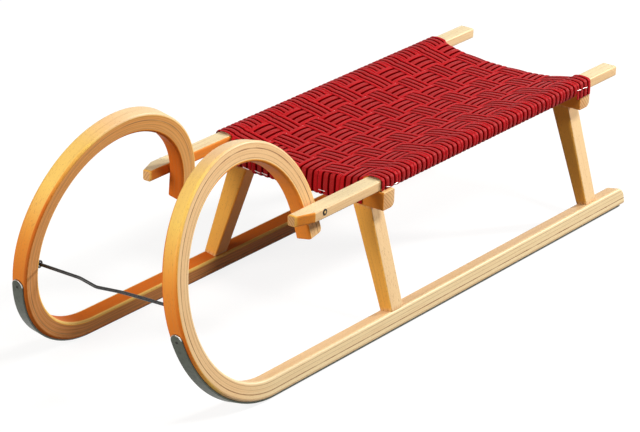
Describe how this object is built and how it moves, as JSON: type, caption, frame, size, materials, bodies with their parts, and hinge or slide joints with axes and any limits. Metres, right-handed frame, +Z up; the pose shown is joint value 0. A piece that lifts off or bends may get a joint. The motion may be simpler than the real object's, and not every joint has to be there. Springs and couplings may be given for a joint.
{
  "type": "horn sled",
  "caption": "Wooden horn sled with laminated runners that curl up and back into horns, splayed legs, a woven strap seat, steel shoes and a drawbar rod.",
  "frame": {"origin": "centre of the object's box, at the ground under the steel shoes", "axes": "+Z up, -Y toward the horns (the front), +X toward the sled's right side seen from in front of it"},
  "size_m": [0.3586, 1.094, 0.359],
  "materials": {
    "beech": "clear varnish, satin",
    "steel": "rolled, lightly worn",
    "webbing": "ribbed woven straps"
  },
  "bodies": {
    "root": {"runner_left": "beech", "runner_right": "beech", "shoe_left": "steel", "shoe_right": "steel", "rail_left": "beech", "rail_right": "beech", "leg_front_left": "beech", "leg_front_right": "beech", "leg_rear_left": "beech", "leg_rear_right": "beech", "crossbar_front": "beech", "crossbar_rear": "beech", "drawbar_rod": "steel", "rod_eye_left": "steel", "rod_eye_right": "steel", "strap_long_1": "webbing", "strap_long_2": "webbing", "strap_long_3": "webbing", "strap_long_4": "webbing", "strap_long_5": "webbing", "strap_long_6": "webbing", "strap_cross_01": "webbing", "strap_cross_02": "webbing", "strap_cross_03": "webbing", "strap_cross_04": "webbing", "strap_cross_05": "webbing", "strap_cross_06": "webbing", "strap_cross_07": "webbing", "strap_cross_08": "webbing", "strap_cross_09": "webbing", "strap_cross_10": "webbing", "strap_cross_11": "webbing", "strap_cross_12": "webbing", "strap_cross_13": "webbing", "strap_cross_14": "webbing"}
  },
  "joints": []
}
